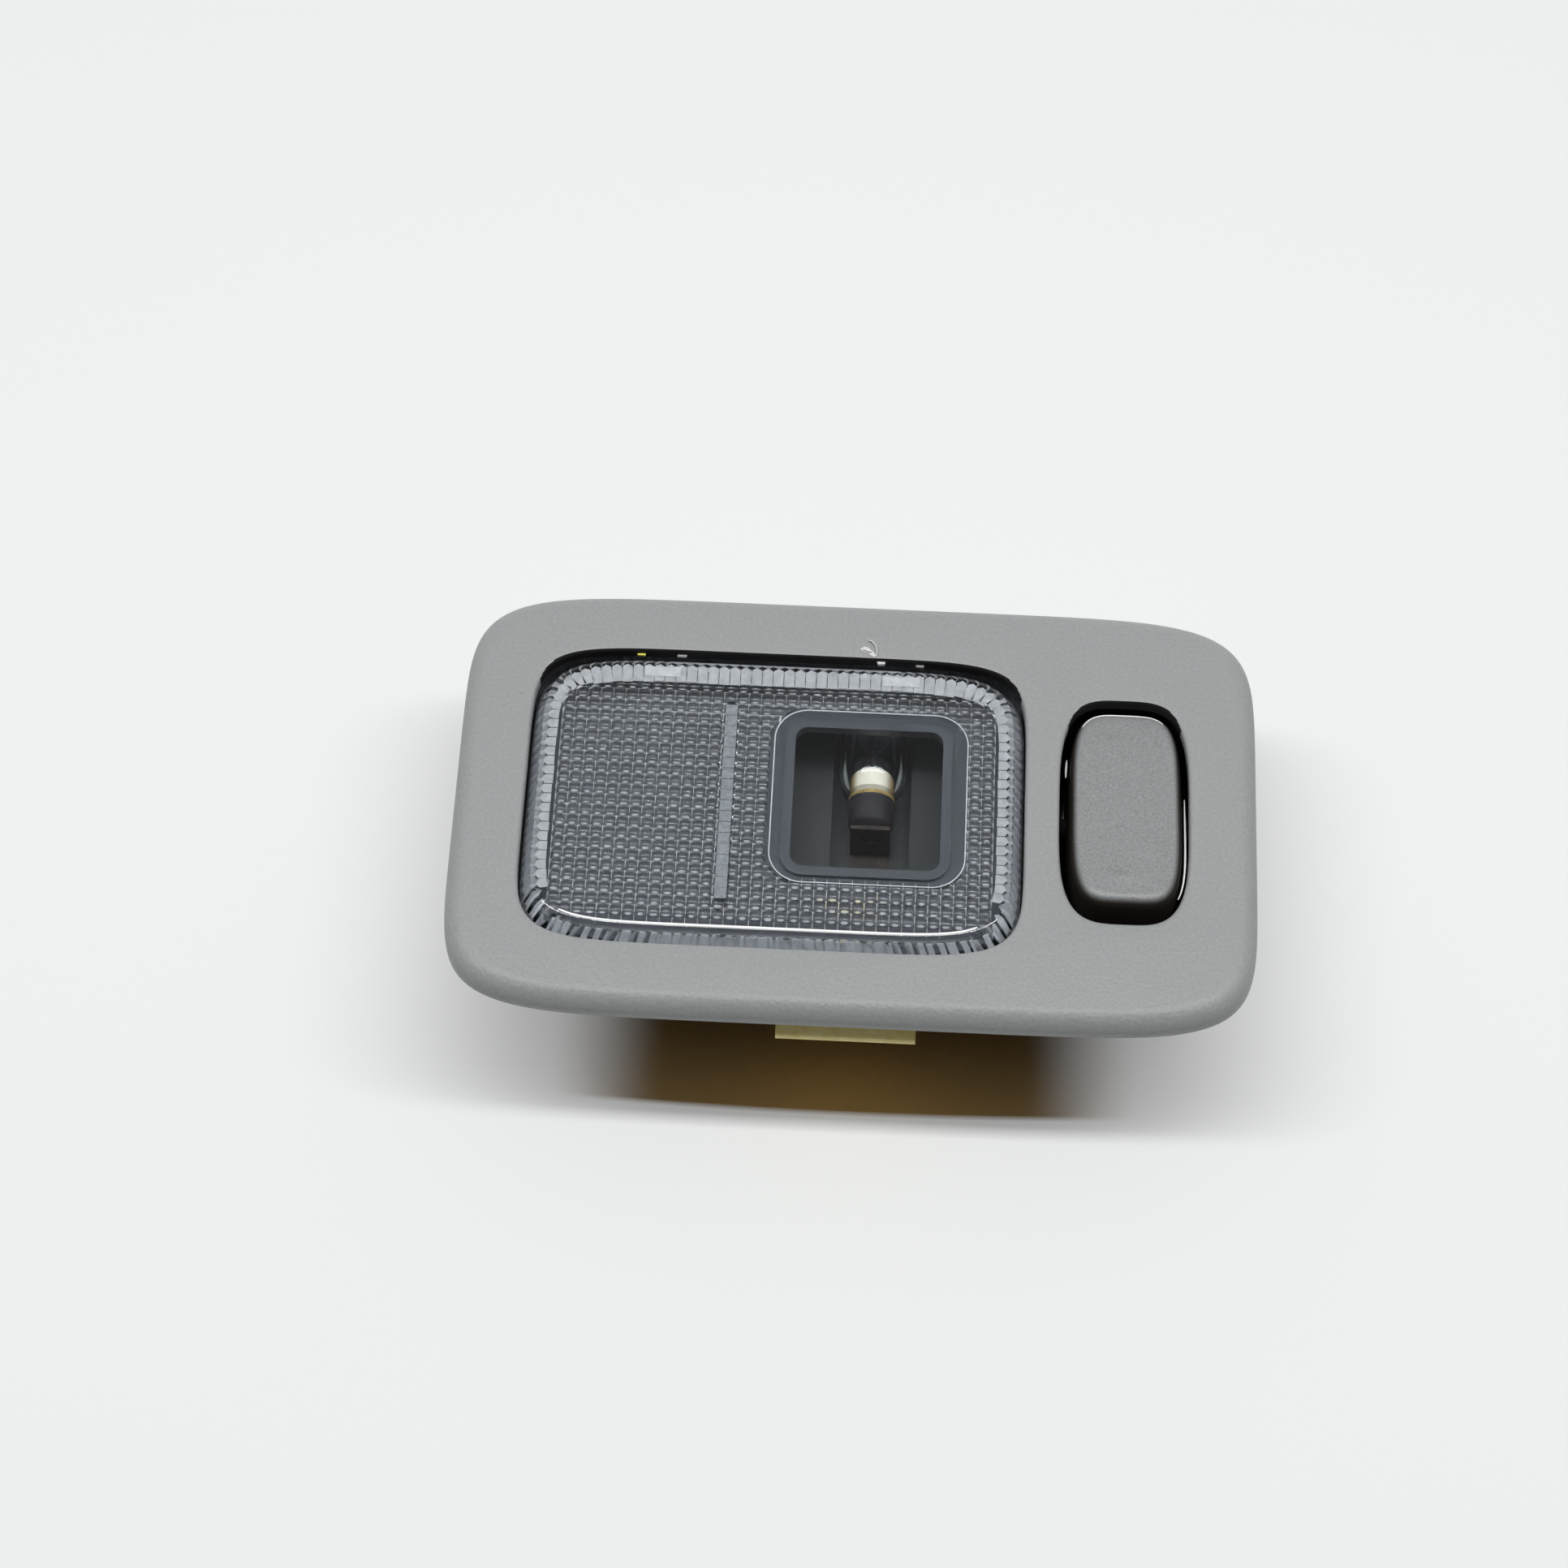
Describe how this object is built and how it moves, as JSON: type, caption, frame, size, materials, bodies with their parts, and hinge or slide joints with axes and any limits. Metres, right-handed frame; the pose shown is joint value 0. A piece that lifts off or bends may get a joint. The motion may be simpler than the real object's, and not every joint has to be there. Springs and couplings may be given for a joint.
{
  "type": "car interior light",
  "caption": "Rectangular car interior light with a clear prismatic lens over a tubular bulb, a rocker switch in a grey bezel, and a black housing behind it.",
  "frame": {"origin": "the middle of the lamp's length and width, on the plane of its back", "axes": "+X along the lamp from the lens towards the rocker switch, +Y across it towards the side without the spring clip, +Z out of its face"},
  "size_m": [0.12, 0.072, 0.0324],
  "materials": {
    "grey_plastic": "fine grained, satin",
    "clear_lens": "clear, moulded with prisms",
    "dark_plastic": "satin",
    "black_plastic": "glossy",
    "white_plastic": "smooth",
    "spring_steel": "drawn wire",
    "brass": "stamped, dull",
    "plated_metal": "dull plating",
    "bulb_glass": "clear",
    "dark_metal": "coiled wire",
    "gold_plated_spring": "mottled yellow passivated steel",
    "stem_glass": "opaque cream glass, matt"
  },
  "bodies": {
    "lamp": {"bezel": "grey_plastic", "lens": "clear_lens", "light_mask": "dark_plastic", "lamp_housing": "black_plastic", "lamp_tray": "black_plastic", "rear_cover": "black_plastic", "contact_buttons": "plated_metal", "strip_supply": "brass", "strip_lamp": "brass", "strip_door": "brass", "strip_earth": "brass", "bulb_glass": "bulb_glass", "bulb_cap_near": "plated_metal", "bulb_cap_far": "plated_metal", "bulb_stem": "stem_glass", "lead_wires": "plated_metal", "filament": "dark_metal", "spring_clip": "gold_plated_spring", "bezel_screws": "plated_metal", "cover_screws": "plated_metal"},
    "switch_rocker": {"rocker": "grey_plastic", "detent_plunger": "white_plastic", "detent_spring": "spring_steel"},
    "see_saw_contact": {"contact_rocker": "brass"}
  },
  "joints": [
    {"name": "rocker_tilt", "type": "hinge", "parent": "lamp", "child": "switch_rocker", "pos_m": [0.0401, 0.00055, 0.0235], "axis": [1, 0, 0], "range_deg": [0, 15.3]},
    {"name": "contact_tilt", "type": "hinge", "parent": "lamp", "child": "see_saw_contact", "pos_m": [0.0401, 0.00055, 0.01385], "axis": [1, 0, 0], "range_deg": [-16, 0]}
  ],
  "couplings": [
    {"joint": "contact_tilt", "follows": "rocker_tilt", "ratio": -1.0457}
  ]
}
